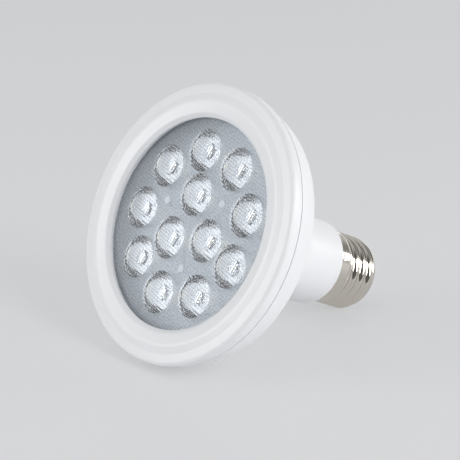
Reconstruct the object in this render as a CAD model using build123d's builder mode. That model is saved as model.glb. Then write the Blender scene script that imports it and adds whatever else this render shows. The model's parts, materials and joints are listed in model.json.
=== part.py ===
from build123d import *
import math
import os

# A reflector spotlight lamp with twelve collimating lenses and a screw cap.
# Every piece is drawn about the lamp's axis: depth runs from the front face (z = 0) to the cap,
# and y points down once the lamp has been laid on its side. The last section lays it down.

# Fits
seat_gap = 0.05
glue_gap = 0.15
slide_gap = 0.1

# Front bezel
bezel_radius = 47.6
bezel_edge_round = 1.7
bezel_draft = 0.4
bezel_band_width = 4.4
bezel_step_width = 0.9
bezel_step_drop = 1.0
bezel_face_width = 4.6
bezel_wall = 1.8
window_lip_width = 2.5
window_lip_depth = 1.7
clamp_width = 2.9
spigot_wall = 1.4
spigot_length = 3.5

# Housing: outer corners of the section
seam_depth = 5.8
seam_step = 0.2
shoulder_radius = 44.2
shoulder_depth = 15.2
shoulder_round = 1.5
neck_taper = 0.5
neck_start_depth = 41.0
neck_flare_round = 20.0
neck_step = 1.8
neck_end_depth = 65.2
neck_end_round = 1.1
housing_wall = 1.8
collar_length = 3.6
stub_wall = 1.5
stub_length = 10.9

# Screw cap
skirt_radius = 13.2
skirt_length = 3.9
thread_pitch = 3.63
thread_turns = 4
thread_set_in = 0.1
thread_height = 1.05
shell_wall = 0.4
shell_lip_radius = 10.2
shell_lip_drop = 1.2
insulator_flange = 1.2
insulator_rise = 2.9
contact_seat_radius = 5.2
contact_radius = 4.9
contact_thickness = 0.8
contact_tip_radius = 2.6
contact_tip_height = 0.6
contact_pin_radius = 0.9
contact_pin_length = 5.0

# Lens plate
plate_recess = 2.2
plate_thickness = 1.8
plate_edge_gap = 0.2
outer_ring_radius = 25.0
outer_cell_count = 9
inner_ring_radius = 10.0
inner_cell_count = 3
lens_phase = -99.5
cell_radius = 7.3
cell_bottom_radius = 5.0
cell_bulge = 0.55
cell_height = 5.2
cavity_radius = 2.6
cavity_depth = 2.7
post_ring_radius = 14.9
post_radius = 1.4

# Light board and its fixings
cell_clearance = 0.3
light_board_margin = 2.7
light_board_thickness = 1.6
led_side = 3.0
led_height = 0.7
led_chamfer = 0.4
screw_wall_gap = 2.29
screw_count = 3
screw_head_radius = 2.2
screw_head_height = 1.3
screw_shank_radius = 1.25
screw_tip = 1.0

# Heat sink
lead_hole_radius = 5.0
sink_thickness = 2.0
sink_skirt_wall = 1.5
sink_skirt_length = 11.2

# Driver
driver_board_thickness = 1.6
driver_board_face = -3.2
driver_edge_gap = 0.73
driver_front_gap = 5.2
driver_rear_gap = 1.4
rail_depth_start = 46.0
rail_thickness = 1.2
rail_reach = 1.7
core_width = 14.0
core_length = 12.0
core_height = 5.0
core_leg = 2.2
core_middle_leg = 4.2
coil_build = 2.2
coil_length = 7.2
output_capacitor_radius = 4.0
output_capacitor_height = 11.5
output_capacitor_gap = 1.7
bulk_capacitor_radius = 4.0
bulk_capacitor_height = 12.0
capacitor_groove_height = 1.6
capacitor_groove_depth = 0.35
choke_radius = 3.2
choke_waist_radius = 2.4
choke_flange = 1.2
choke_height = 7.0
choke_side = 5.0
film_capacitor_size = (10.0, 8.0, 4.2)
fuse_radius = 1.5
fuse_length = 8.0
fuse_gap = 1.3
rectifier_size = (4.7, 1.7, 3.9)
rectifier_side = -3.0
controller_size = (4.9, 1.5, 3.9)
controller_side = 2.0

# Leads
lead_radius = 0.7
lead_bend = 2.2
lead_overlap = 2.5
light_lead_side = 2.2
light_lead_reach = 5.5
supply_lead_gap = 0.3
supply_lead_rise_length = 5.8
neutral_turn_gap = 0.3

# Radii that follow from the bezel and from the cap's skirt
bezel_step_radius = bezel_radius - bezel_band_width - bezel_step_width
bezel_face_inner_radius = bezel_step_radius - bezel_face_width
window_radius = bezel_face_inner_radius - window_lip_width
clamp_outer_radius = window_radius + clamp_width
plate_radius = clamp_outer_radius - plate_edge_gap
seam_radius = bezel_radius - bezel_draft - seam_step
neck_end_radius = skirt_radius + neck_step
neck_start_radius = neck_end_radius + neck_taper
crest_radius = skirt_radius - thread_set_in
root_radius = crest_radius - thread_height
stub_radius = root_radius - shell_wall - glue_gap

# Depths that follow from the sizes above
plate_front = window_lip_depth + plate_recess
plate_back = plate_front + plate_thickness
cell_end = plate_back + cell_height
light_board_front = cell_end + cell_clearance
sink_front = light_board_front + light_board_thickness
sink_back = sink_front + sink_thickness
sink_skirt_end_depth = sink_back + sink_skirt_length
spigot_end = seam_depth + spigot_length
skirt_end = neck_end_depth + skirt_length
stub_end_depth = skirt_end + stub_length
crest_depths = [skirt_end + (turn + 1) * thread_pitch for turn in range(thread_turns)]
lip_root_depth = crest_depths[-1] + thread_pitch / 2
shell_end = lip_root_depth + shell_lip_drop
insulator_end = shell_end + insulator_rise
contact_pin_end = insulator_end - contact_pin_length

# Slopes of the housing wall and of its bell, as the run of the wall thickness across each
wall_slope = math.atan2(seam_radius - shoulder_radius, shoulder_depth - seam_depth)
bell_slope = math.atan2(shoulder_radius - neck_start_radius, neck_start_depth - shoulder_depth)
wall_run = housing_wall / math.cos(wall_slope)
bell_run = housing_wall / math.cos(bell_slope)


def wall_bore(depth):
    """Radius of the housing's inside at a depth along its front wall."""
    return seam_radius - (depth - seam_depth) * math.tan(wall_slope) - wall_run


def bell_bore(depth):
    """Radius of the housing's inside at a depth along its bell."""
    return shoulder_radius - (depth - shoulder_depth) * math.tan(bell_slope) - bell_run


shoulder_bore_depth = shoulder_depth + (wall_run - bell_run) / (math.tan(bell_slope) - math.tan(wall_slope))
neck_bore = neck_start_radius - housing_wall
neck_bore_start = shoulder_depth + (shoulder_radius - bell_run - neck_bore) / math.tan(bell_slope)
neck_floor = neck_end_depth - housing_wall
spigot_radius = min(wall_bore(seam_depth), wall_bore(spigot_end)) - glue_gap

# The sink's edge turns where the housing's inside does, or within its disc if that is further back
sink_edge_depth = max(shoulder_bore_depth, (sink_front + sink_back) / 2)
sink_edge_radius = min(wall_bore(sink_edge_depth), bell_bore(sink_edge_depth)) - glue_gap
sink_front_radius = min(wall_bore(sink_front), bell_bore(sink_front)) - glue_gap

# The screws stand clear of the housing at their tips, and the light board reaches past them
screw_tip_depth = sink_back + screw_tip
screw_bore = min(wall_bore(screw_tip_depth), bell_bore(screw_tip_depth))
screw_ring_radius = screw_bore - screw_shank_radius - screw_wall_gap
light_board_radius = screw_ring_radius + light_board_margin

# The driver board fits the neck's bore, and its parts stand in rows with equal gaps between them
driver_board_back = driver_board_face - driver_board_thickness
driver_board_half_width = math.sqrt(neck_bore**2 - driver_board_back**2) - driver_edge_gap
driver_front_depth = sink_back + driver_front_gap
driver_rear_depth = neck_floor - driver_rear_gap
lead_level = driver_board_face + lead_radius + seat_gap
row_lengths = (core_length, 2 * output_capacitor_radius, film_capacitor_size[2], 2 * bulk_capacitor_radius)
row_gap = (driver_rear_depth - driver_front_depth - sum(row_lengths)) / (len(row_lengths) + 1)
transformer_depth = driver_front_depth + row_gap + core_length / 2
output_row_depth = transformer_depth + core_length / 2 + row_gap + output_capacitor_radius
film_row_depth = output_row_depth + output_capacitor_radius + row_gap + film_capacitor_size[2] / 2
bulk_row_depth = driver_rear_depth - row_gap - bulk_capacitor_radius
output_capacitor_top = driver_board_face + output_capacitor_height
output_capacitor_reach = math.sqrt(neck_bore**2 - output_capacitor_top**2) - output_capacitor_gap
output_capacitor_side = output_capacitor_radius - output_capacitor_reach
fuse_side = driver_board_half_width - rail_reach - fuse_radius - fuse_gap
supply_lead_side = bulk_capacitor_radius + supply_lead_gap + lead_radius
supply_lead_rise = neck_end_depth + supply_lead_rise_length

pieces = {}

# Bezel: stepped front ring, window lip, ring that clamps the lens plate and spigot for the housing
with BuildPart() as front_bezel:
    with BuildSketch(Plane.XZ):
        with BuildLine():
            Polyline(
                (window_radius, plate_front),
                (window_radius, window_lip_depth),
                (bezel_face_inner_radius, 0),
                (bezel_step_radius, 0),
                (bezel_step_radius + bezel_step_width, bezel_step_drop),
                (bezel_radius, bezel_step_drop),
                (bezel_radius - bezel_draft, seam_depth),
                (spigot_radius, seam_depth),
                (spigot_radius, spigot_end),
                (spigot_radius - spigot_wall, spigot_end),
                (spigot_radius - spigot_wall, bezel_step_drop + bezel_wall),
                (clamp_outer_radius, bezel_step_drop + bezel_wall),
                (clamp_outer_radius, plate_front),
                close=True,
            )
        make_face()
    revolve()
    rim = front_bezel.edges().filter_by(GeomType.CIRCLE).sort_by(SortBy.RADIUS)[-1]
    fillet(rim, bezel_edge_round)
pieces["front_bezel"] = front_bezel

# One collimating cell: a bowl of clear plastic that narrows to a hollow over its light source
with BuildPart() as lens_cell:
    with BuildSketch(Plane.XZ):
        with BuildLine():
            side_middle = (
                (cell_radius + cell_bottom_radius) / 2 + cell_bulge,
                plate_back + cell_height / 2,
            )
            ThreePointArc((cell_radius, plate_back), side_middle, (cell_bottom_radius, cell_end))
            Polyline(
                (cell_bottom_radius, cell_end),
                (cavity_radius, cell_end),
                (cavity_radius, cell_end - cavity_depth),
                (0, cell_end - cavity_depth),
                (0, plate_back),
                (cell_radius, plate_back),
            )
        make_face()
    revolve()

# Lens plate: flat flange, two rings of cells, and posts that stand on the light board
with BuildPart() as lens_plate:
    with BuildSketch(Plane.XY.offset(plate_front)):
        Circle(plate_radius)
    extrude(amount=plate_thickness)
    with PolarLocations(outer_ring_radius, outer_cell_count, start_angle=lens_phase):
        add(lens_cell.part)
    with PolarLocations(inner_ring_radius, inner_cell_count, start_angle=lens_phase):
        add(lens_cell.part)
    with BuildSketch(Plane.XY.offset(plate_back)):
        with PolarLocations(post_ring_radius, inner_cell_count, start_angle=lens_phase + 180 / inner_cell_count):
            Circle(post_radius)
    extrude(amount=light_board_front - plate_back)
pieces["lens_plate"] = lens_plate

# Light board with its screw holes and a slot for each lead, as long as the lead's bend
screw_ring = PolarLocations(screw_ring_radius, screw_count, start_angle=lens_phase)
lead_slot_run = lead_bend - lead_radius
lead_slot_side = light_lead_side + lead_slot_run / 2
with BuildPart() as light_board:
    with BuildSketch(Plane.XY.offset(light_board_front)):
        Circle(light_board_radius)
        with Locations((-lead_slot_side, lead_level), (lead_slot_side, lead_level)):
            SlotCenterToCenter(lead_slot_run, 2 * (lead_radius + slide_gap), mode=Mode.SUBTRACT)
        with screw_ring:
            Circle(screw_shank_radius + slide_gap, mode=Mode.SUBTRACT)
    extrude(amount=light_board_thickness)
pieces["light_board"] = light_board

# Light sources, one under each cell, with one corner cut as a polarity mark
led_places = [
    *PolarLocations(outer_ring_radius, outer_cell_count, start_angle=lens_phase),
    *PolarLocations(inner_ring_radius, inner_cell_count, start_angle=lens_phase),
]
led_plane = Plane.XY.offset(light_board_front - led_height)
for number, place in enumerate(led_places, start=1):
    with BuildPart() as led:
        with BuildSketch(led_plane):
            with Locations(place.position):
                Rectangle(led_side, led_side)
            chamfer(vertices().sort_by(Axis.X).group_by(Axis.Y)[0][0], led_chamfer)
        extrude(amount=led_height)
    pieces[f"led_{number:02d}"] = led

# Screws that hold the light board to the heat sink
with BuildPart() as board_screws:
    with BuildSketch(Plane.XY.offset(light_board_front - screw_head_height)):
        with screw_ring:
            Circle(screw_head_radius)
    extrude(amount=screw_head_height)
    with BuildSketch(Plane.XY.offset(light_board_front)):
        with screw_ring:
            Circle(screw_shank_radius)
    extrude(amount=light_board_thickness + sink_thickness + screw_tip)
pieces["board_screws"] = board_screws

# Heat sink: a pressed cup whose disc carries the light board and whose skirt lies on the bell
with BuildPart() as heat_sink:
    skirt_fit = slide_gap / math.cos(bell_slope)
    skirt_run = sink_skirt_wall / math.cos(bell_slope)
    with BuildSketch(Plane.XZ):
        with BuildLine():
            Polyline(
                (lead_hole_radius, sink_front),
                (sink_front_radius, sink_front),
                (sink_edge_radius, sink_edge_depth),
                (bell_bore(sink_skirt_end_depth) - skirt_fit, sink_skirt_end_depth),
                (bell_bore(sink_skirt_end_depth) - skirt_fit - skirt_run, sink_skirt_end_depth),
                (bell_bore(sink_back) - skirt_fit - skirt_run, sink_back),
                (lead_hole_radius, sink_back),
                close=True,
            )
        make_face()
    revolve()
    with BuildSketch(Plane.XY.offset(sink_front)):
        with screw_ring:
            Circle(screw_shank_radius + seat_gap)
    extrude(amount=sink_thickness + screw_tip + sink_skirt_wall, mode=Mode.SUBTRACT)
pieces["heat_sink"] = heat_sink

# Housing: front wall, bell, neck, collar under the cap skirt and stub inside the thread
with BuildPart() as housing:
    with BuildSketch(Plane.XZ):
        with BuildLine():
            FilletPolyline(
                (seam_radius, seam_depth),
                (shoulder_radius, shoulder_depth),
                (neck_start_radius, neck_start_depth),
                (neck_end_radius, neck_end_depth),
                (skirt_radius - shell_wall - seat_gap, neck_end_depth),
                radius=(shoulder_round, neck_flare_round, neck_end_round),
            )
            Polyline(
                (skirt_radius - shell_wall - seat_gap, neck_end_depth),
                (skirt_radius - shell_wall - seat_gap, neck_end_depth + collar_length),
                (stub_radius, neck_end_depth + collar_length),
                (stub_radius, stub_end_depth),
                (stub_radius - stub_wall, stub_end_depth),
                (stub_radius - stub_wall, neck_floor),
                (neck_bore, neck_floor),
                (neck_bore, neck_bore_start),
            )
            Polyline(
                (neck_bore, neck_bore_start),
                (bell_bore(shoulder_bore_depth), shoulder_bore_depth),
                (wall_bore(seam_depth), seam_depth),
                (seam_radius, seam_depth),
            )
        make_face()
    revolve()
    slot_half = driver_board_thickness / 2 + slide_gap
    board_middle = driver_board_face - driver_board_thickness / 2
    with BuildSketch(Plane.XY.offset(rail_depth_start)):
        Circle(neck_bore + housing_wall / 2)
        with BuildSketch(mode=Mode.PRIVATE) as rail_bars:
            with Locations(
                (0, board_middle - slot_half - rail_thickness / 2),
                (0, board_middle + slot_half + rail_thickness / 2),
            ):
                Rectangle(2 * bezel_radius, rail_thickness)
            Rectangle(2 * (driver_board_half_width - rail_reach), 2 * bezel_radius, mode=Mode.SUBTRACT)
        add(rail_bars.sketch, mode=Mode.INTERSECT)
    extrude(amount=neck_floor - rail_depth_start)
pieces["housing"] = housing

# Driver board, held by its edges in the rails of the neck
with BuildPart() as driver_board:
    with BuildSketch(Plane.XZ.offset(-driver_board_face)):
        with Locations((0, (driver_front_depth + driver_rear_depth) / 2)):
            Rectangle(2 * driver_board_half_width, driver_rear_depth - driver_front_depth)
    extrude(amount=driver_board_thickness)
pieces["driver_board"] = driver_board

# Plane of the board's loaded face: x across the board, y along the depth, z away from the board
loaded_face = Plane((0, driver_board_face, 0), x_dir=(-1, 0, 0), z_dir=(0, 1, 0))
back_face = Plane((0, driver_board_back, 0), x_dir=(1, 0, 0), z_dir=(0, -1, 0))

# Transformer: a double-window core round a coil that stands on the board
coil_height = core_height + 2 * coil_build
with BuildPart() as transformer_coil:
    with BuildSketch(Plane.XY.offset(transformer_depth - coil_length / 2)):
        with Locations((0, driver_board_face + coil_height / 2)):
            Rectangle(core_middle_leg + 2 * coil_build, coil_height)
            Rectangle(core_middle_leg + 2 * slide_gap, core_height + 2 * slide_gap, mode=Mode.SUBTRACT)
    extrude(amount=coil_length)
    long_edges = transformer_coil.edges().filter_by(Axis.Z).sort_by(lambda edge: edge.center().X ** 2)[-4:]
    chamfer(long_edges, coil_build / 3)
pieces["transformer_coil"] = transformer_coil

with BuildPart() as transformer_core:
    with BuildSketch(loaded_face.offset(coil_build)):
        with Locations((0, transformer_depth)):
            Rectangle(core_width, core_length)
            Rectangle(core_width - 2 * core_leg, core_length - 2 * core_leg, mode=Mode.SUBTRACT)
            Rectangle(core_middle_leg, core_length)
    extrude(amount=core_height)
pieces["transformer_core"] = transformer_core


def can(radius, height, place):
    """A can capacitor standing on the board, with the crimp groove near its foot."""
    with BuildPart() as piece:
        with BuildSketch(loaded_face):
            with Locations((-place[0], place[1])):
                Circle(radius)
        extrude(amount=height)
        with BuildSketch(loaded_face.offset(capacitor_groove_height)):
            with Locations((-place[0], place[1])):
                Circle(radius)
                Circle(radius - capacitor_groove_depth, mode=Mode.SUBTRACT)
        extrude(amount=2 * capacitor_groove_depth, mode=Mode.SUBTRACT)
    return piece


def block(plane, size, place):
    """A moulded block on a face of the board; its size is width, height and length."""
    with BuildPart() as piece:
        with BuildSketch(plane):
            with Locations((place[0] * plane.x_dir.X, place[1] * plane.y_dir.Z)):
                Rectangle(size[0], size[2])
        extrude(amount=size[1])
    return piece


output_place = (output_capacitor_side, output_row_depth)
pieces["output_capacitor"] = can(output_capacitor_radius, output_capacitor_height, output_place)
pieces["bulk_capacitor"] = can(bulk_capacitor_radius, bulk_capacitor_height, (0, bulk_row_depth))
pieces["film_capacitor"] = block(loaded_face, film_capacitor_size, (0, film_row_depth))
pieces["bridge_rectifier"] = block(back_face, rectifier_size, (rectifier_side, bulk_row_depth))
pieces["controller_chip"] = block(back_face, controller_size, (controller_side, output_row_depth))

# Filter choke: a drum with a wound waist
with BuildPart() as filter_choke:
    for start, radius, height in (
        (0, choke_radius, choke_flange),
        (choke_flange, choke_waist_radius, choke_height - 2 * choke_flange),
        (choke_height - choke_flange, choke_radius, choke_flange),
    ):
        with BuildSketch(loaded_face.offset(start)):
            with Locations((-choke_side, output_row_depth)):
                Circle(radius)
        extrude(amount=height)
pieces["filter_choke"] = filter_choke

# Fuse resistor lying along the board
with BuildPart() as fuse_resistor:
    with BuildSketch(Plane.XY.offset(bulk_row_depth - fuse_length / 2)):
        with Locations((fuse_side, driver_board_face + fuse_radius)):
            Circle(fuse_radius)
    extrude(amount=fuse_length)
pieces["fuse_resistor"] = fuse_resistor


def lead(points):
    """A round insulated lead along straight runs with rounded corners."""
    with BuildPart() as piece:
        with BuildLine() as route:
            FilletPolyline(*points, radius=lead_bend)
        with BuildSketch(Plane(route.line @ 0, z_dir=route.line % 0)):
            Circle(lead_radius)
        sweep(path=route.line)
    return piece


# Leads from the driver through the sink to the light board, and from the driver to the cap
light_lead_turn = light_board_front - lead_radius - seat_gap
light_lead_start = driver_front_depth + lead_overlap
supply_lead_start = driver_rear_depth - lead_overlap
for side, name in ((1, "light_lead_positive"), (-1, "light_lead_negative")):
    pieces[name] = lead([
        (side * light_lead_side, lead_level, light_lead_start),
        (side * light_lead_side, lead_level, light_lead_turn),
        (side * light_lead_reach, lead_level, light_lead_turn),
    ])
pieces["live_lead"] = lead([
    (supply_lead_side, lead_level, supply_lead_start),
    (supply_lead_side, lead_level, supply_lead_rise),
    (0, 0, (supply_lead_rise + contact_pin_end) / 2),
    (0, 0, contact_pin_end),
])
neutral_turn = stub_end_depth + lead_radius + neutral_turn_gap
shell_bore = root_radius - shell_wall - slide_gap
neutral_reach = math.sqrt(shell_bore**2 - (lead_radius - lead_level) ** 2)
pieces["neutral_lead"] = lead([
    (-supply_lead_side, lead_level, supply_lead_start),
    (-supply_lead_side, lead_level, neutral_turn),
    (-neutral_reach, lead_level, neutral_turn),
])

# Cap shell: skirt, rolled thread and turned-in lip, all one thin wall
with BuildPart() as cap_shell:
    shell_outline = [(skirt_radius, neck_end_depth), (skirt_radius, skirt_end)]
    for crest_depth in crest_depths:
        shell_outline.append((root_radius, crest_depth - thread_pitch / 2))
        shell_outline.append((crest_radius, crest_depth))
    shell_outline.append((root_radius, lip_root_depth))
    shell_outline.append((shell_lip_radius, shell_end))
    with BuildSketch(Plane.XZ):
        with BuildLine() as shell_line:
            Polyline(*shell_outline)
            offset(amount=shell_wall, side=Side.LEFT, kind=Kind.INTERSECTION)
        make_face()
    revolve()
pieces["cap_shell"] = cap_shell

# Insulator: flanged button held behind the lip of the shell, bored for the contact's pin
with BuildPart() as insulator:
    insulator_flange_radius = root_radius - shell_wall - 2 * glue_gap
    with BuildSketch(Plane.XZ):
        with BuildLine():
            Polyline(
                (contact_pin_radius + seat_gap, lip_root_depth - insulator_flange),
                (insulator_flange_radius, lip_root_depth - insulator_flange),
                (insulator_flange_radius, lip_root_depth - shell_wall),
                (shell_lip_radius - shell_wall, shell_end - shell_wall),
                (shell_lip_radius - shell_wall, shell_end),
                (contact_seat_radius, insulator_end),
                (contact_pin_radius + seat_gap, insulator_end),
                close=True,
            )
        make_face()
    revolve()
pieces["cap_insulator"] = insulator

# Centre contact: domed disc with the pin that takes the live lead
with BuildPart() as centre_contact:
    with BuildSketch(Plane.XZ):
        with BuildLine():
            Polyline(
                (0, contact_pin_end),
                (contact_pin_radius, contact_pin_end),
                (contact_pin_radius, insulator_end),
                (contact_radius, insulator_end),
                (contact_radius, insulator_end + contact_thickness),
                (contact_tip_radius, insulator_end + contact_thickness + contact_tip_height),
                (0, insulator_end + contact_thickness + contact_tip_height),
                close=True,
            )
        make_face()
    revolve()
pieces["centre_contact"] = centre_contact

# The lamp lies on the last crest of its thread and on its rim or its shoulder, whichever is proud
def resting_angle(radius, depth, rounding):
    """Tilt of a floor that touches the last crest and a rounded corner centred at a radius and depth."""
    drop = radius - crest_radius
    run = crest_depths[-1] - depth
    return math.atan2(drop, run) + math.asin(rounding / math.hypot(drop, run))


corner_reach = shoulder_round / (1 + math.cos(bell_slope - wall_slope))
shoulder_centre_radius = shoulder_radius - corner_reach * (math.cos(wall_slope) + math.cos(bell_slope))
shoulder_centre_depth = shoulder_depth - corner_reach * (math.sin(wall_slope) + math.sin(bell_slope))
tilt = math.degrees(max(
    resting_angle(bezel_radius - bezel_edge_round, bezel_step_drop + bezel_edge_round, bezel_edge_round),
    resting_angle(shoulder_centre_radius, shoulder_centre_depth, shoulder_round),
))
turned = Location((0, 0, 0), (-(90 + tilt), 0, 0))
outer_pieces = ("front_bezel", "housing", "cap_shell", "centre_contact")
outside = Compound([pieces[name].part.moved(turned) for name in outer_pieces])
box = outside.bounding_box()
lying = Location((0, -box.center().Y, -box.min.Z)) * turned

os.makedirs("parts", exist_ok=True)
for name, piece in pieces.items():
    piece.part.label = name
    export_step(piece.part.moved(lying), f"parts/{name}.step")
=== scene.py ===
import json
import math

import bmesh
import bpy
from mathutils import Matrix, Vector


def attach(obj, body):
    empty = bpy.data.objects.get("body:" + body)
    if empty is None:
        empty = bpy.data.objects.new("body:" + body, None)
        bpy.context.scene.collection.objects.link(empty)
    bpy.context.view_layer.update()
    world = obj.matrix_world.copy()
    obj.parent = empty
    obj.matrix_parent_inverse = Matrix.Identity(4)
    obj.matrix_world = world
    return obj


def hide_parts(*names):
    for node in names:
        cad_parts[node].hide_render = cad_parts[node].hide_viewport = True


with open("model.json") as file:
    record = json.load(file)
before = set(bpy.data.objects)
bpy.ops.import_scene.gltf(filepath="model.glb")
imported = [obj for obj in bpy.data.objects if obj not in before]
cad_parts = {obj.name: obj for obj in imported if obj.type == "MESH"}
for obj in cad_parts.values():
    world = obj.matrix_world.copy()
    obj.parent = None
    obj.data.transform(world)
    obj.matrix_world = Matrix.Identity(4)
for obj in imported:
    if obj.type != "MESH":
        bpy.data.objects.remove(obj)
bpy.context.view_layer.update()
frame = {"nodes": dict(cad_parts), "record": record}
mm = 0.001
straightUp = Vector((0, 0, 1))

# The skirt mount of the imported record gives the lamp's axis, and a point this far behind its front plane.
# Every turned piece is made upright, with z as the depth behind that plane, and is then laid down.
skirtMountDepth = 67.15
skirtMount = next(mount for mount in frame["record"]["mounts"] if mount["name"] == "cap_skirt")
lampAxis = Vector(skirtMount["axis"])
faceCentre = Vector(skirtMount["pos_m"]) - lampAxis * skirtMountDepth * mm
lampTurn = math.atan2(-lampAxis.y, lampAxis.z)
lying = Matrix.Translation(faceCentre) @ Matrix.Rotation(lampTurn, 4, "X")
print("frame loaded, front plane at", [round(v, 5) for v in faceCentre])

# How near counts as the same place, in mm, and how squarely a flat front looks forward
tolerance = {"merge": 0.004, "radius": 0.02, "level": 0.02, "squareOn": 0.9}


def linear(hexColour):
    values = [int(hexColour[i:i + 2], 16) / 255 for i in (1, 3, 5)]
    return [v / 12.92 if v <= 0.04045 else ((v + 0.055) / 1.055) ** 2.4 for v in values] + [1]


# A colour mix shares its socket names with the other kinds of mix, so its sockets go by number.
mixShare, mixFirst, mixSecond, mixResult = 0, 6, 7, 2


def setInputs(node, inputs):
    # a socket is linked, and anything else becomes the input's own value
    for name, value in inputs.items():
        if isinstance(value, bpy.types.NodeSocket):
            node.id_data.links.new(value, node.inputs[name])
        else:
            node.inputs[name].default_value = value


def addNode(tree, kind, inputs=None, **settings):
    node = tree.nodes.new(kind)
    for name, value in settings.items():
        setattr(node, name, value)
    setInputs(node, inputs or {})
    return node


def newMaterial(name, inputs):
    material = bpy.data.materials.new(name)
    material.use_nodes = True
    shader = material.node_tree.nodes["Principled BSDF"]
    setInputs(shader, inputs)
    return material, material.node_tree, shader


def lampPlace(tree, turn=0.0):
    # millimetres in the lamp's own upright frame, turned about its axis
    place = addNode(tree, "ShaderNodeTexCoord").outputs["Object"]
    back = Matrix.Rotation(-lampTurn, 4, "X")
    upright = addNode(tree, "ShaderNodeMapping", {
        "Vector": place,
        "Location": -(back @ faceCentre) / mm,
        "Rotation": (-lampTurn, 0, 0),
        "Scale": (1 / mm, 1 / mm, 1 / mm),
    })
    if not turn:
        return upright.outputs["Vector"]
    turned = addNode(tree, "ShaderNodeMapping", {
        "Vector": upright.outputs["Vector"], "Rotation": (0, 0, turn),
    })
    return turned.outputs["Vector"]


def waveScale(pitch):
    # a wave texture of scale 1 repeats every tenth of pi
    return math.pi / 10 / pitch


def clearSelection():
    if bpy.context.object and bpy.context.object.mode != "OBJECT":
        bpy.ops.object.mode_set(mode="OBJECT")
    bpy.ops.object.select_all(action="DESELECT")


def makeActive(piece):
    clearSelection()
    piece.select_set(True)
    bpy.context.view_layer.objects.active = piece


def turnedPiece(name, rings, segments, startFill="NOTHING", endFill=False):
    # rings are (radius, depth) or (radius, depth, rounding, steps) in mm
    # a radius of 0 closes the piece on the axis
    clearSelection()
    radius, depth = rings[0][:2]
    bpy.ops.mesh.primitive_circle_add(
        vertices=segments, radius=radius * mm, fill_type=startFill, location=(0, 0, depth * mm)
    )
    piece = bpy.context.object
    piece.name = piece.data.name = name
    bpy.ops.object.transform_apply(location=True)
    bpy.ops.object.mode_set(mode="EDIT")
    bpy.ops.mesh.select_mode(type="EDGE")
    selectRing(piece, radius, depth)
    for ring in rings[1:]:
        nextRadius, nextDepth = ring[:2]
        bpy.ops.mesh.extrude_edges_move(TRANSFORM_OT_translate={"value": (0, 0, (nextDepth - depth) * mm)})
        if nextRadius == 0:
            bpy.ops.mesh.merge(type="CENTER")
            break
        grow = nextRadius / radius
        bpy.ops.transform.resize(value=(grow, grow, 1), center_override=(0, 0, 0))
        radius, depth = nextRadius, nextDepth
    if endFill:
        bpy.ops.mesh.edge_face_add()
    bpy.ops.mesh.select_all(action="SELECT")
    bpy.ops.mesh.remove_doubles(threshold=tolerance["merge"] * mm)
    bpy.ops.mesh.normals_make_consistent(inside=False)
    for before, ring, after in zip(rings[:-2], rings[1:-1], rings[2:]):
        if len(ring) > 2:
            roundRing(piece, before, ring, after)
    bpy.ops.object.mode_set(mode="OBJECT")
    return piece


def selectRing(piece, radius, depth):
    bpy.ops.mesh.select_all(action="DESELECT")
    mesh = bmesh.from_edit_mesh(piece.data)
    for edge in mesh.edges:
        if all(
            abs(corner.co.xy.length - radius * mm) < tolerance["radius"] * mm
            and abs(corner.co.z - depth * mm) < tolerance["merge"] * mm
            for corner in edge.verts
        ):
            edge.select_set(True)
    bmesh.update_edit_mesh(piece.data)


def roundRing(piece, before, ring, after):
    # a bevel whose reach along both sides gives the wanted radius
    arriving = Vector((ring[0] - before[0], ring[1] - before[1]))
    leaving = Vector((after[0] - ring[0], after[1] - ring[1]))
    reach = ring[2] * math.tan(arriving.angle(leaving) / 2)
    selectRing(piece, *ring[:2])
    bpy.ops.mesh.bevel(offset=reach * mm, segments=ring[3], affect="EDGES", clamp_overlap=False)


def copyTo(piece, spot):
    makeActive(piece)
    bpy.ops.object.duplicate()
    copy = bpy.context.object
    copy.location = (spot.x * mm, spot.y * mm, 0)
    bpy.ops.object.transform_apply(location=True)
    return copy


def finishPiece(piece, nodes, materials, smoothAngle=32):
    makeActive(piece)
    bpy.ops.object.shade_smooth_by_angle(angle=math.radians(smoothAngle))
    piece.matrix_world = lying
    bpy.ops.object.transform_apply(location=True, rotation=True, scale=True)
    for material in materials:
        piece.data.materials.append(material)
    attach(piece, "root")
    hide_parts(*nodes)


# White polycarbonate, injection moulded in a satin tool: a soft broad sheen and a very fine grain
# The real grain is finer still; it is drawn coarse enough to show.
polycarbonate = {
    "colour": "#e5e6e8", "ior": 1.58, "smoothest": 0.31, "dullest": 0.41, "sheenSize": 14.0,
    "grainSize": 0.35, "grainRelief": 0.02, "grainStrength": 0.05,
}
whitePlastic, tree, shader = newMaterial("whitePolycarbonate", {
    "Base Color": linear(polycarbonate["colour"]), "IOR": polycarbonate["ior"],
})
place = lampPlace(tree)
grain = addNode(tree, "ShaderNodeTexNoise", {
    "Vector": place, "Scale": 1 / polycarbonate["grainSize"], "Detail": 2.0,
})
sheen = addNode(tree, "ShaderNodeTexNoise", {
    "Vector": place, "Scale": 1 / polycarbonate["sheenSize"], "Detail": 3.0,
})
rough = addNode(tree, "ShaderNodeMapRange", {
    "Value": sheen.outputs["Fac"], "To Min": polycarbonate["smoothest"], "To Max": polycarbonate["dullest"],
})
bump = addNode(tree, "ShaderNodeBump", {
    "Height": grain.outputs["Fac"], "Strength": polycarbonate["grainStrength"],
    "Distance": polycarbonate["grainRelief"] * mm,
})
setInputs(shader, {"Roughness": rough.outputs["Result"], "Normal": bump.outputs["Normal"]})

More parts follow.
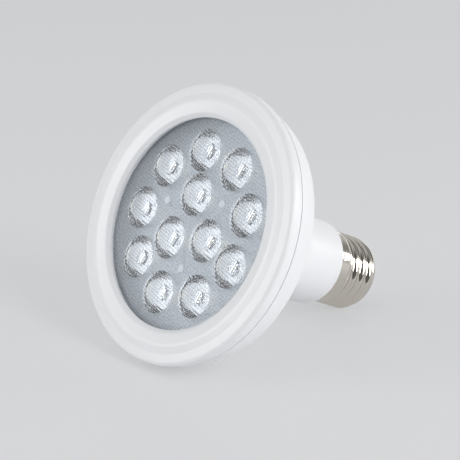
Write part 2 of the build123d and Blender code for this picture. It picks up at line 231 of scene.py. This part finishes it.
# Nickel plate on drawn brass: a warm grey mirror with faint draw marks round the cap
nickel = {"colour": "#d2ccc3", "smoothest": 0.05, "dullest": 0.15, "markWidth": 0.5, "markLength": 12.5}
nickelPlate, tree, shader = newMaterial("nickelPlate", {
    "Base Color": linear(nickel["colour"]), "Metallic": 1.0,
})
stretched = addNode(tree, "ShaderNodeMapping", {
    "Vector": lampPlace(tree),
    "Scale": (1 / nickel["markLength"], 1 / nickel["markLength"], 1 / nickel["markWidth"]),
})
drawMarks = addNode(tree, "ShaderNodeTexNoise", {
    "Vector": stretched.outputs["Vector"], "Scale": 1.0, "Detail": 4.0,
})
rough = addNode(tree, "ShaderNodeMapRange", {
    "Value": drawMarks.outputs["Fac"], "To Min": nickel["smoothest"], "To Max": nickel["dullest"],
})
setInputs(shader, {"Roughness": rough.outputs["Result"]})

# Black glass insulator of the cap, pressed while hot: glossy and slightly uneven
capGlass = {
    "colour": "#17161a", "ior": 1.55, "smoothest": 0.12, "dullest": 0.3,
    "waveSize": 5 / 3, "waveRelief": 0.2, "waveStrength": 0.25,
}
blackGlass, tree, shader = newMaterial("blackCapGlass", {
    "Base Color": linear(capGlass["colour"]), "IOR": capGlass["ior"],
})
uneven = addNode(tree, "ShaderNodeTexNoise", {
    "Vector": lampPlace(tree), "Scale": 1 / capGlass["waveSize"], "Detail": 2.0,
})
rough = addNode(tree, "ShaderNodeMapRange", {
    "Value": uneven.outputs["Fac"], "To Min": capGlass["smoothest"], "To Max": capGlass["dullest"],
})
bump = addNode(tree, "ShaderNodeBump", {
    "Height": uneven.outputs["Fac"], "Strength": capGlass["waveStrength"],
    "Distance": capGlass["waveRelief"] * mm,
})
setInputs(shader, {"Roughness": rough.outputs["Result"], "Normal": bump.outputs["Normal"]})

# Clear acrylic of the lens plate, moulded in a polished tool: water clear, with a faint uneven haze
acrylicIor = 1.49
polished = {"colour": "#fcfdff", "hazeSize": 4.0, "smoothest": 0.008, "dullest": 0.022}
clearAcrylic, tree, shader = newMaterial("clearAcrylic", {
    "Base Color": linear(polished["colour"]), "Transmission Weight": 1.0, "IOR": acrylicIor,
})
haze = addNode(tree, "ShaderNodeTexNoise", {
    "Vector": lampPlace(tree), "Scale": 1 / polished["hazeSize"], "Detail": 2.0,
})
rough = addNode(tree, "ShaderNodeMapRange", {
    "Value": haze.outputs["Fac"], "To Min": polished["smoothest"], "To Max": polished["dullest"],
})
setInputs(shader, {"Roughness": rough.outputs["Result"]})

# The lens fronts carry a pattern of tiny pillows that spread the beam and glitter
# The real pitch is finer; it is drawn coarse enough to show.
pillow = {
    "pitch": 1.05, "height": 0.07, "turn": math.radians(75), "roughness": 0.04,
    "shadedValley": "#ccd9e6", "peak": "#ffffff",
}
pillowAcrylic, tree, shader = newMaterial("pillowedAcrylic", {
    "Transmission Weight": 1.0, "IOR": acrylicIor, "Roughness": pillow["roughness"],
})
place = lampPlace(tree, pillow["turn"])
waves = [
    addNode(tree, "ShaderNodeTexWave", {
        "Vector": place, "Scale": waveScale(pillow["pitch"]),
    }, bands_direction=way).outputs["Fac"]
    for way in ("X", "Y")
]
height = addNode(tree, "ShaderNodeMath", {0: waves[0], 1: waves[1]}, operation="ADD")
# the pillows' hollows are tinted greyer than their tops: painted shade in the creases of the pattern
tint = addNode(tree, "ShaderNodeMix", {
    mixShare: waves[0], mixFirst: linear(pillow["shadedValley"]), mixSecond: linear(pillow["peak"]),
}, data_type="RGBA")
bump = addNode(tree, "ShaderNodeBump", {
    "Height": height.outputs[0], "Strength": 1.0, "Distance": pillow["height"] * mm,
})
setInputs(shader, {"Base Color": tint.outputs[mixResult], "Normal": bump.outputs["Normal"]})

# Between the lenses the front is spark eroded and scatters; its grey-blue colour is painted shade that
# stands for the dim board behind, seen only as a haze
# The real grit is finer; it is drawn coarse enough to show, and so are the tool's faint lines.
frost = {
    "shadedPit": "#98a5b2", "peak": "#d9dde2", "roughness": 0.5, "clear": 0.68, "darkest": 0.4, "palest": 0.7,
    "gritSize": 0.55, "gritRelief": 0.2, "gritStrength": 0.6, "linePitch": 1.05, "lineShare": 0.08,
}
frostedAcrylic, tree, shader = newMaterial("frostedAcrylic", {
    "Transmission Weight": frost["clear"], "IOR": acrylicIor, "Roughness": frost["roughness"],
})
place = lampPlace(tree, pillow["turn"])
grit = addNode(tree, "ShaderNodeTexNoise", {
    "Vector": place, "Scale": 1 / frost["gritSize"], "Detail": 3.0,
})
lines = addNode(tree, "ShaderNodeTexWave", {"Vector": place, "Scale": waveScale(frost["linePitch"])})
faint = addNode(tree, "ShaderNodeMath", {
    0: lines.outputs["Fac"], 1: frost["lineShare"],
}, operation="MULTIPLY")
weave = addNode(tree, "ShaderNodeMath", {0: grit.outputs["Fac"], 1: faint.outputs[0]}, operation="ADD")
# the colour is paler on the grit's raised tops and along the tool's faint lines, and greyer in its hollows:
# painted glints and painted shade
paintedSparkle = addNode(tree, "ShaderNodeMapRange", {
    "Value": weave.outputs[0], "From Min": frost["darkest"], "From Max": frost["palest"],
})
tint = addNode(tree, "ShaderNodeMix", {
    mixShare: paintedSparkle.outputs["Result"], mixFirst: linear(frost["shadedPit"]), mixSecond: linear(frost["peak"]),
}, data_type="RGBA")
bump = addNode(tree, "ShaderNodeBump", {
    "Height": grit.outputs["Fac"], "Strength": frost["gritStrength"], "Distance": frost["gritRelief"] * mm,
})
setInputs(shader, {"Base Color": tint.outputs[mixResult], "Normal": bump.outputs["Normal"]})

# Where the plate was fed from the tool the acrylic is stressed and clouded, and its soft white spot is also
# a painted glow that stands for the board's light carried up each post
cloudyGlow = {
    "colour": "#e2e8ef", "roughness": 0.5, "clear": 0.55,
    "cloudSize": 0.4, "cloudRelief": 0.1, "cloudStrength": 0.3,
}
cloudyGlowAcrylic, tree, shader = newMaterial("cloudyGlowAcrylic", {
    "Base Color": linear(cloudyGlow["colour"]), "Transmission Weight": cloudyGlow["clear"], "IOR": acrylicIor,
    "Roughness": cloudyGlow["roughness"],
})
cloud = addNode(tree, "ShaderNodeTexNoise", {
    "Vector": lampPlace(tree), "Scale": 1 / cloudyGlow["cloudSize"], "Detail": 2.0,
})
bump = addNode(tree, "ShaderNodeBump", {
    "Height": cloud.outputs["Fac"], "Strength": cloudyGlow["cloudStrength"],
    "Distance": cloudyGlow["cloudRelief"] * mm,
})
setInputs(shader, {"Normal": bump.outputs["Normal"]})
print("main materials ready")


# Front bezel: clamp ring, window lip, dished face with its ridge, rim and spigot
bezel = {
    "rings": [
        (40.0, 2.8), (38.1, 2.8), (38.1, 3.85), (36.2, 3.85), (35.6, 2.1, 0.15, 2), (37.0, 0.88, 0.6, 4),
        (41.0, 0.0, 3.0, 8), (43.7, 1.0, 1.5, 6), (47.44, 1.3, 1.35, 8), (47.36, 5.6, 0.1, 2),
        (44.0, 5.6), (44.0, 9.3), (42.6, 9.3), (42.6, 2.8), (40.0, 2.8),
    ],
    "segments": 256,
}
bezelPiece = turnedPiece("frontBezel", bezel["rings"], bezel["segments"])
finishPiece(bezelPiece, ["front_bezel"], [whitePlastic])
print("bezel", len(bezelPiece.data.polygons))

# Housing: wall behind the seam, bell, neck, and the collar and stub inside the cap
housing = {
    "rings": [
        (43.5, 14.19), (45.12, 6.0), (47.28, 6.0, 0.1, 2), (44.18, 15.2, 1.5, 6), (15.5, 41.0, 20.0, 14),
        (15.0, 65.15, 1.1, 6), (12.75, 65.15), (12.75, 68.8), (11.5, 68.8), (11.5, 80.0), (10.0, 80.0),
        (10.0, 63.4), (13.7, 63.4), (13.7, 40.2), (42.63, 14.19), (43.5, 14.19),
    ],
    "segments": 256,
}
housingPiece = turnedPiece("housing", housing["rings"], housing["segments"])
finishPiece(housingPiece, ["housing"], [whitePlastic])
print("housing", len(housingPiece.data.polygons))


# Lens plate: flange, twelve cells, three posts and their gate marks, joined into one clear moulding
lens = {
    "flange": {"radius": 37.9, "front": 3.9, "back": 5.7, "segments": 192},
    "outerRing": {"count": 9, "radius": 25.0}, "innerRing": {"count": 3, "radius": 10.0}, "phase": -99.5,
    "crown": [
        (0.6, 3.55), (2.4, 3.57), (4.2, 3.62), (5.8, 3.69), (7.0, 3.78), (7.2, 3.86), (7.2, 4.6), (7.3, 5.7),
    ],
    "bowlSteps": 12, "bowlFoot": (5.0, 10.9), "bowlBulge": 0.55,
    "cavity": [(2.6, 10.9), (2.6, 8.2), (2.1, 8.5), (1.4, 8.72), (0.7, 8.84), (0, 8.87)],
    "cellSegments": 72, "patternRadius": 7.25, "frontLean": 0.5,
    "post": {"radius": 1.4, "root": 4.8, "end": 11.15, "segments": 32},
    "postRing": {"count": 3, "radius": 14.9, "turn": 60},
    "gateMark": {"radius": 1.3, "height": 0.14, "root": 4.6, "segments": 32, "edge": 0.05},
    "markAngles": (0.3, 0.6, 0.9, 1.2, math.pi / 2),
}


def ringPlaces(count, radius, turn=0.0):
    angles = [math.radians(lens["phase"] + turn + 360 * i / count) for i in range(count)]
    return [Vector((radius * math.cos(a), radius * math.sin(a))) for a in angles]


def bowlRings():
    # an arc from the plate's back to the foot of the cell
    (startRadius, startDepth), (endRadius, endDepth) = lens["crown"][-1], lens["bowlFoot"]
    for i in range(1, lens["bowlSteps"] + 1):
        t = i / lens["bowlSteps"]
        radius = startRadius + (endRadius - startRadius) * t + 4 * lens["bowlBulge"] * t * (1 - t)
        yield radius, startDepth + (endDepth - startDepth) * t


def spread(piece, places):
    # copies of a piece at each place, joined into one
    copies = [copyTo(piece, spot) for spot in places]
    makeActive(copies[0])
    for copy in copies:
        copy.select_set(True)
    bpy.ops.object.join()
    bpy.data.objects.remove(piece)
    return bpy.context.object


def unite(piece, other):
    makeActive(piece)
    join = piece.modifiers.new("unite", "BOOLEAN")
    join.operation, join.solver, join.object = "UNION", "EXACT", other
    bpy.ops.object.modifier_apply(modifier=join.name)
    bpy.data.objects.remove(other)


def within(corners, spots, reach):
    return any(all((corner - spot).length < reach for corner in corners) for spot in spots)


flange, post, gateMark = lens["flange"], lens["post"], lens["gateMark"]
cellPlaces = ringPlaces(**lens["outerRing"]) + ringPlaces(**lens["innerRing"])
postPlaces = ringPlaces(**lens["postRing"])
cellRings = lens["crown"] + list(bowlRings()) + lens["cavity"]
cells = spread(turnedPiece("lensCell", cellRings, lens["cellSegments"], "TRIFAN"), cellPlaces)
postRings = [(post["radius"], post["root"]), (post["radius"], post["end"]), (0, post["end"])]
posts = spread(turnedPiece("lensPost", postRings, post["segments"], "TRIFAN"), postPlaces)
markRings = [
    (gateMark["radius"] * math.sin(a), flange["front"] - gateMark["height"] * math.cos(a))
    for a in lens["markAngles"]
]
markRings += [(gateMark["radius"], gateMark["root"]), (0, gateMark["root"])]
marks = spread(turnedPiece("gateMark", markRings, gateMark["segments"], "TRIFAN"), postPlaces)
flangeRings = [(flange["radius"], flange["front"]), (flange["radius"], flange["back"])]
lensPlate = turnedPiece("lensPlate", flangeRings, flange["segments"], "NGON", endFill=True)
for other in (cells, posts, marks):
    unite(lensPlate, other)
for material in (clearAcrylic, pillowAcrylic, frostedAcrylic, cloudyGlowAcrylic):
    lensPlate.data.materials.append(material)
clearSlot, pillowSlot, frostSlot, cloudyGlowSlot = range(4)
for face in lensPlate.data.polygons:
    face.material_index = clearSlot
    onFront = face.center.z / mm < flange["front"] + tolerance["level"]
    if face.normal.z < -lens["frontLean"] and onFront:
        corners = [lensPlate.data.vertices[i].co.xy / mm for i in face.vertices]
        if within(corners, cellPlaces, lens["patternRadius"]):
            face.material_index = pillowSlot
        # the spots over the posts get the clouded acrylic, whose paleness is partly a painted glow
        elif within(corners, postPlaces, gateMark["radius"] + gateMark["edge"]):
            face.material_index = cloudyGlowSlot
        else:
            face.material_index = frostSlot
finishPiece(lensPlate, ["lens_plate"], [])
# clear acrylic lets the light of the soft boxes through to the board
lensPlate.visible_shadow = False
print("lens plate", len(lensPlate.data.polygons))


# Moulded white resin of the light sources: matt and bright, with fine specks
ledResin = {
    "colour": "#f2f1ea", "roughness": 0.4, "speckSize": 1 / 6, "speckRelief": 0.02, "speckStrength": 0.1,
}
ledPackage, tree, shader = newMaterial("ledResin", {
    "Base Color": linear(ledResin["colour"]), "Roughness": ledResin["roughness"],
})
speck = addNode(tree, "ShaderNodeTexNoise", {"Vector": lampPlace(tree), "Scale": 1 / ledResin["speckSize"]})
bump = addNode(tree, "ShaderNodeBump", {
    "Height": speck.outputs["Fac"], "Strength": ledResin["speckStrength"],
    "Distance": ledResin["speckRelief"] * mm,
})
setInputs(shader, {"Normal": bump.outputs["Normal"]})

# Silicone filled with phosphor, poured into the well: a satin yellow that isn't quite even
silicone = {"pale": "#f3e2a4", "deep": "#e9cf78", "roughness": 0.25, "speckSize": 1 / 12}
phosphor, tree, shader = newMaterial("phosphorSilicone", {"Roughness": silicone["roughness"]})
speck = addNode(tree, "ShaderNodeTexNoise", {"Vector": lampPlace(tree), "Scale": 1 / silicone["speckSize"]})
tint = addNode(tree, "ShaderNodeMix", {
    mixShare: speck.outputs["Fac"],
    mixFirst: linear(silicone["pale"]), mixSecond: linear(silicone["deep"]),
}, data_type="RGBA")
setInputs(shader, {"Base Color": tint.outputs[mixResult]})

# Light sources: square packages with a polarity corner and a shallow well of phosphor
led = {
    "side": 3.0, "height": 0.7, "foot": 11.2, "edge": 0.12, "edgeSteps": 2,
    "wall": 0.4, "well": 0.15, "mark": 0.4,
}


def ledPiece(name):
    clearSelection()
    bpy.ops.mesh.primitive_cube_add(size=1, location=(0, 0, (led["foot"] - led["height"] / 2) * mm))
    piece = bpy.context.object
    piece.name = piece.data.name = name
    piece.scale = (led["side"] * mm, led["side"] * mm, led["height"] * mm)
    bpy.ops.object.transform_apply(location=True, rotation=True, scale=True)
    bpy.ops.object.mode_set(mode="EDIT")
    bpy.ops.mesh.select_mode(type="EDGE")
    bpy.ops.mesh.select_all(action="DESELECT")
    mesh = bmesh.from_edit_mesh(piece.data)
    for edge in mesh.edges:
        a, b = (corner.co for corner in edge.verts)
        upright = abs(a.z - b.z) > led["height"] * mm / 2
        if upright and a.x < 0 and a.y < 0:
            edge.select_set(True)
    bmesh.update_edit_mesh(piece.data)
    bpy.ops.mesh.bevel(offset=led["mark"] * mm, segments=1, affect="EDGES")
    bpy.ops.mesh.select_mode(type="FACE")
    bpy.ops.mesh.select_all(action="DESELECT")
    mesh = bmesh.from_edit_mesh(piece.data)
    for face in mesh.faces:
        face.select_set(face.normal.z < -tolerance["squareOn"])
    bmesh.update_edit_mesh(piece.data)
    bpy.ops.mesh.inset(thickness=led["wall"] * mm)
    bpy.ops.mesh.extrude_region_move(TRANSFORM_OT_translate={"value": (0, 0, led["well"] * mm)})
    bpy.ops.object.mode_set(mode="OBJECT")
    soften = piece.modifiers.new("soften", "BEVEL")
    soften.width, soften.segments, soften.limit_method = led["edge"] * mm, led["edgeSteps"], "ANGLE"
    bpy.ops.object.modifier_apply(modifier=soften.name)
    piece.data.materials.append(ledPackage)
    piece.data.materials.append(phosphor)
    phosphorSlot = len(piece.data.materials) - 1
    wellFloor = (led["foot"] - led["height"] + led["well"]) * mm
    for face in piece.data.polygons:
        atFloor = abs(face.center.z - wellFloor) < tolerance["level"] * mm
        if atFloor and face.normal.z < -tolerance["squareOn"]:
            face.material_index = phosphorSlot
    return piece


firstLed = ledPiece("ledMaster")
for number, spot in enumerate(cellPlaces, start=1):
    copy = copyTo(firstLed, spot)
    copy.name = copy.data.name = f"lightSource{number:02d}"
    finishPiece(copy, [f"led_{number:02d}"], [])
bpy.data.objects.remove(firstLed)
print("light sources", len(cellPlaces))


# Cap shell: drawn skirt and rolled knuckle thread, one thin wall
cap = {
    "front": 65.22, "skirtEnd": 70.8, "skirtRadius": 13.2, "neckBefore": 0.35, "neckAfter": 0.75,
    "meanRadius": 12.525, "waveHeight": 0.495, "pitch": 3.63, "crestDepth": 83.62, "runOut": 1.3,
    "lipRoot": 85.43, "lipRadius": 10.2, "end": 86.6, "wall": 0.35,
    "step": 0.16, "leastStep": 0.01, "segments": 192, "smoothAngle": 40,
    "punch": {"depth": 67.6, "turn": -23, "count": 4, "radius": 0.45, "drop": 0.22},
}


def smoothStep(low, high, value):
    t = min(max((value - low) / (high - low), 0), 1)
    return t * t * (3 - 2 * t)


def punchDrop(depth, angle):
    # small punch marks stake the skirt to the collar inside it
    punch = cap["punch"]
    part = 2 * math.pi / punch["count"]
    away = (angle - math.radians(punch["turn"]) + part / 2) % part - part / 2
    reach = math.hypot(away * cap["skirtRadius"], depth - punch["depth"]) / punch["radius"]
    return punch["drop"] * math.exp(-reach * reach)


def capRadius(depth, angle):
    # a crest is at crestDepth on the floor side, and the helix is right-handed
    neckStart, neckEnd = cap["skirtEnd"] - cap["neckBefore"], cap["skirtEnd"] + cap["neckAfter"]
    if depth <= neckStart:
        return cap["skirtRadius"] - punchDrop(depth, angle)
    turns = (depth - cap["crestDepth"]) / cap["pitch"] - (angle - math.pi / 2) / (2 * math.pi)
    thread = cap["meanRadius"] + cap["waveHeight"] * math.cos(2 * math.pi * turns)
    radius = cap["skirtRadius"] + (thread - cap["skirtRadius"]) * smoothStep(neckStart, neckEnd, depth)
    rootRadius = cap["meanRadius"] - cap["waveHeight"]
    radius += (rootRadius - radius) * smoothStep(cap["lipRoot"] - cap["runOut"], cap["lipRoot"], depth)
    over = max(depth - cap["lipRoot"], 0) / (cap["end"] - cap["lipRoot"])
    return radius - (rootRadius - cap["lipRadius"]) * (1 - math.sqrt(max(1 - over * over, 0)))


capRings = []
depth = cap["front"]
while depth < cap["end"] - cap["leastStep"]:
    capRings.append((cap["skirtRadius"], depth))
    depth += cap["step"]
capRings.append((cap["skirtRadius"], cap["end"]))
capShell = turnedPiece("capShell", capRings, cap["segments"])
for corner in capShell.data.vertices:
    angle = math.atan2(corner.co.y, corner.co.x)
    radius = capRadius(corner.co.z / mm, angle) * mm
    corner.co.x, corner.co.y = radius * math.cos(angle), radius * math.sin(angle)
makeActive(capShell)
wall = capShell.modifiers.new("wall", "SOLIDIFY")
wall.thickness, wall.offset = cap["wall"] * mm, -1  # inwards
bpy.ops.object.modifier_apply(modifier=wall.name)
finishPiece(capShell, ["cap_shell"], [nickelPlate], cap["smoothAngle"])
print("cap shell", len(capShell.data.polygons))

# Cap end: black glass button and the domed centre contact
capEnd = {
    "glass": [
        (4.0, 89.4), (5.2, 89.4, 0.4, 3), (9.8, 86.6, 0.8, 4), (9.8, 86.2), (11.3, 85.0), (11.3, 84.2),
        (0.95, 84.2), (0.95, 89.4), (4.0, 89.4),
    ],
    "contact": [
        (0.9, 84.5), (0.9, 89.45), (4.9, 89.45, 0.1, 2), (4.9, 90.2, 0.25, 3), (2.6, 90.9, 0.5, 4),
        (1.2, 90.93), (0, 90.93),
    ],
    "segments": 96,
}
glassPiece = turnedPiece("capInsulator", capEnd["glass"], capEnd["segments"])
finishPiece(glassPiece, ["cap_insulator"], [blackGlass])
contactPiece = turnedPiece("centreContact", capEnd["contact"], capEnd["segments"], "TRIFAN")
finishPiece(contactPiece, ["centre_contact"], [nickelPlate])
print("cap end done")


# The CAD nodes that stay keep their shape and get the finish of what they are made of
# Each row is colour, roughness, metal, the size in mm and the depth of the surface texture, and the nodes.
innerFinishes = {
    # screened lacquer: matt white, it throws stray light back at the lenses
    "whiteSolderMask": ("#eef0f2", 0.45, 0.0, 0.8, 0.03, ["light_board"]),
    # bright plating on turned steel, with a slight frost
    "zincPlatedSteel": ("#b9bab8", 0.3, 1.0, 0.6, 0.03, ["board_screws"]),
    # deep drawn sheet: pale metal with a dull, faintly pebbled skin
    "pressedAluminium": ("#c6c8ca", 0.42, 1.0, 1.2, 0.05, ["heat_sink"]),
    # lacquer on glass cloth: dark green, satin and slightly uneven
    "greenSolderMask": ("#2d5a3c", 0.4, 0.0, 1.0, 0.05, ["driver_board"]),
    # wound polyester tape: satin yellow with small wrinkles
    "windingTape": ("#d3b53c", 0.35, 0.0, 0.7, 0.05, ["transformer_coil"]),
    # fired iron oxide: nearly black, dry and grainy
    "sinteredFerrite": ("#3a3a3d", 0.7, 0.0, 0.4, 0.08, ["transformer_core", "filter_choke"]),
    # heat-shrunk sleeve: dark, with a soft gloss and faint ripples
    "shrinkSleeve": ("#23262e", 0.3, 0.0, 1.5, 0.03, ["output_capacitor", "bulk_capacitor"]),
    # moulded box: smooth beige
    "mouldedFilmBox": ("#b9b3a1", 0.4, 0.0, 0.9, 0.03, ["film_capacitor"]),
    # moulded epoxy: black and matt, with a fine tooth
    "chipResin": ("#1f1f21", 0.6, 0.0, 0.3, 0.05, ["bridge_rectifier", "controller_chip"]),
    # dipped lacquer: brown and lumpy
    "lacquerCoat": ("#a78a68", 0.45, 0.0, 0.6, 0.06, ["fuse_resistor"]),
    # extruded silicone: off-white and rubbery
    "siliconeInsulation": ("#e8e8e4", 0.55, 0.0, 0.5, 0.03, [
        "light_lead_positive", "light_lead_negative", "live_lead", "neutral_lead",
    ]),
}
innerTexture = {"detail": 3.0, "roughnessSpread": 0.1, "strength": 0.3}
for finishName, (colour, roughness, metal, texture, relief, nodeNames) in innerFinishes.items():
    material, tree, shader = newMaterial(finishName, {"Base Color": linear(colour), "Metallic": metal})
    grain = addNode(tree, "ShaderNodeTexNoise", {
        "Vector": lampPlace(tree), "Scale": 1 / texture, "Detail": innerTexture["detail"],
    })
    rough = addNode(tree, "ShaderNodeMapRange", {
        "Value": grain.outputs["Fac"],
        "To Min": roughness - innerTexture["roughnessSpread"],
        "To Max": roughness + innerTexture["roughnessSpread"],
    })
    bump = addNode(tree, "ShaderNodeBump", {
        "Height": grain.outputs["Fac"], "Strength": innerTexture["strength"], "Distance": relief * mm,
    })
    setInputs(shader, {"Roughness": rough.outputs["Result"], "Normal": bump.outputs["Normal"]})
    for nodeName in nodeNames:
        node = frame["nodes"][nodeName]
        node.data.materials.clear()
        node.data.materials.append(material)
print("inner finishes", len(innerFinishes))


# Stage: a floor of pale paper, satin and very slightly mottled, in metres
stage = {
    "size": 8.0, "colour": "#fafbfc", "smoothest": 0.3, "dullest": 0.4, "mottleSize": 1 / 3,
    "backdropColour": "#cdced0", "backdropShare": 0.7,
}
clearSelection()
bpy.ops.mesh.primitive_plane_add(size=stage["size"], location=(0, 0, 0))
floor = bpy.context.object
floor.name = "studioFloor"
floorPaper, tree, shader = newMaterial("paleFloor", {"Base Color": linear(stage["colour"])})
mottle = addNode(tree, "ShaderNodeTexNoise", {
    "Vector": addNode(tree, "ShaderNodeTexCoord").outputs["Object"],
    "Scale": 1 / stage["mottleSize"], "Detail": 2.0,
})
rough = addNode(tree, "ShaderNodeMapRange", {
    "Value": mottle.outputs["Fac"], "To Min": stage["smoothest"], "To Max": stage["dullest"],
})
setInputs(shader, {"Roughness": rough.outputs["Result"]})
# what the camera, the metal and the lenses see of the floor is mostly an even backdrop grey
# the rest is the lit paper, which keeps a faint shadow
rays = addNode(tree, "ShaderNodeLightPath").outputs
seen = addNode(tree, "ShaderNodeMath", {
    0: rays["Is Camera Ray"], 1: rays["Is Glossy Ray"],
}, operation="MAXIMUM")
seen = addNode(tree, "ShaderNodeMath", {
    0: seen.outputs[0], 1: rays["Is Transmission Ray"],
}, operation="MAXIMUM")
share = addNode(tree, "ShaderNodeMath", {
    0: seen.outputs[0], 1: stage["backdropShare"],
}, operation="MULTIPLY")
glow = addNode(tree, "ShaderNodeEmission", {"Color": linear(stage["backdropColour"])})
mixed = addNode(tree, "ShaderNodeMixShader", {
    0: share.outputs[0], 1: shader.outputs["BSDF"], 2: glow.outputs["Emission"],
})
setInputs(tree.nodes["Material Output"], {"Surface": mixed.outputs["Shader"]})
floor.data.materials.append(floorPaper)

# Camera at the photograph's angle: aim is a point near the lamp in mm, and offset says how far
# that point is to the right of the camera's line of sight, below it, and away.
view = {
    "azimuth": 48.44, "pitch": 17.47, "lens": 150.1, "sensor": 36.0,
    "aim": (0.0, -31.337, 45.702), "offset": (-14.58, -2.39, 627.3),
}
azimuth, pitch = math.radians(view["azimuth"]), math.radians(view["pitch"])
right = Vector((math.cos(azimuth), math.sin(azimuth), 0))
level = Vector((-math.sin(azimuth), math.cos(azimuth), 0))
forward = math.cos(pitch) * level - math.sin(pitch) * straightUp
up = right.cross(forward)
across, down, away = view["offset"]
bpy.ops.object.camera_add()
camera = bpy.context.object
camera.name = "camera"
spot = (Vector(view["aim"]) - across * right + down * up - away * forward) * mm
camera.matrix_world = Matrix.Translation(spot) @ Matrix((right, up, -forward)).transposed().to_4x4()
camera.data.lens, camera.data.sensor_width = view["lens"], view["sensor"]
bpy.context.scene.camera = camera


def wayOut(turn, rise):
    # turn is measured from straight away from the camera, to the right; rise is above the floor
    turn, rise = math.radians(turn), math.radians(rise)
    flat = math.cos(turn) * level + math.sin(turn) * right
    return math.cos(rise) * flat + math.sin(rise) * straightUp


# Soft boxes, in degrees, metres and watts
# The lenses look straight into the key, which would fill their dark edges, so it is hidden from them.
lampAim = Vector((0, 0, 0.04))
softBoxes = {
    "rightBox": {"way": (84, 11), "distance": 1.2, "size": (0.65, 0.31), "power": 2.7, "inLenses": True},
    "leftBox": {"way": (-106, 16), "distance": 1.2, "size": (0.8, 0.7), "power": 5.9, "inLenses": True},
    "topBox": {"way": (-140, 66), "distance": 1.2, "size": (0.8, 0.5), "power": 0.5, "inLenses": True},
    "keyBox": {"way": (136, 27), "distance": 1.4, "size": (0.5, 0.85), "power": 10.6, "inLenses": False},
}
for name, softBox in softBoxes.items():
    way = wayOut(*softBox["way"])
    bpy.ops.object.light_add(type="AREA", location=way * softBox["distance"] + lampAim)
    box = bpy.context.object
    box.name = name
    box.rotation_euler = way.to_track_quat("Z", "Y").to_euler()
    box.data.shape = "RECTANGLE"
    box.data.size, box.data.size_y = softBox["size"]
    box.data.energy = softBox["power"]
    box.visible_transmission = softBox["inLenses"]

# The studio is an even pale grey with a bright strip low behind the lamp
# It is dim behind the camera and above the right box, which gives the metal and the lenses their darks.
studio = {
    "colour": "#f4f5f6", "strength": 0.7,
    "strip": {"strength": 0.9, "fullBelow": 0.05, "goneAbove": 0.16, "goneBeside": 0.5, "fullAhead": 0.8},
    "dimZones": [
        {"way": (-177, 22), "edge": 0.4, "core": 0.75, "share": 0.22},
        {"way": (65, 42), "edge": 0.78, "core": 0.96, "share": 0.3},
    ],
}
world = bpy.data.worlds.new("studioWorld")
bpy.context.scene.world = world
world.use_nodes = True
tree = world.node_tree
direction = addNode(tree, "ShaderNodeTexCoord").outputs["Generated"]
heights = addNode(tree, "ShaderNodeSeparateXYZ", {"Vector": direction})
strip = studio["strip"]
low = addNode(tree, "ShaderNodeMapRange", {
    "Value": heights.outputs["Z"], "From Min": strip["fullBelow"], "From Max": strip["goneAbove"],
    "To Min": strip["strength"], "To Max": 0.0,
}, interpolation_type="SMOOTHSTEP")
ahead = addNode(tree, "ShaderNodeVectorMath", {0: direction, 1: level}, operation="DOT_PRODUCT")
behindLamp = addNode(tree, "ShaderNodeMapRange", {
    "Value": ahead.outputs["Value"], "From Min": strip["goneBeside"], "From Max": strip["fullAhead"],
}, interpolation_type="SMOOTHSTEP")
extra = addNode(tree, "ShaderNodeMath", {
    0: low.outputs["Result"], 1: behindLamp.outputs["Result"],
}, operation="MULTIPLY")
strength = addNode(tree, "ShaderNodeMath", {0: extra.outputs[0], 1: studio["strength"]}, operation="ADD")
for zone in studio["dimZones"]:
    near = addNode(tree, "ShaderNodeVectorMath", {
        0: direction, 1: wayOut(*zone["way"]),
    }, operation="DOT_PRODUCT")
    dim = addNode(tree, "ShaderNodeMapRange", {
        "Value": near.outputs["Value"], "From Min": zone["edge"], "From Max": zone["core"],
        "To Min": 1.0, "To Max": zone["share"],
    }, interpolation_type="SMOOTHSTEP")
    strength = addNode(tree, "ShaderNodeMath", {
        0: strength.outputs[0], 1: dim.outputs["Result"],
    }, operation="MULTIPLY")
setInputs(tree.nodes["Background"], {"Color": linear(studio["colour"]), "Strength": strength.outputs[0]})
bpy.context.scene.view_settings.view_transform = "Standard"
print("stage ready")
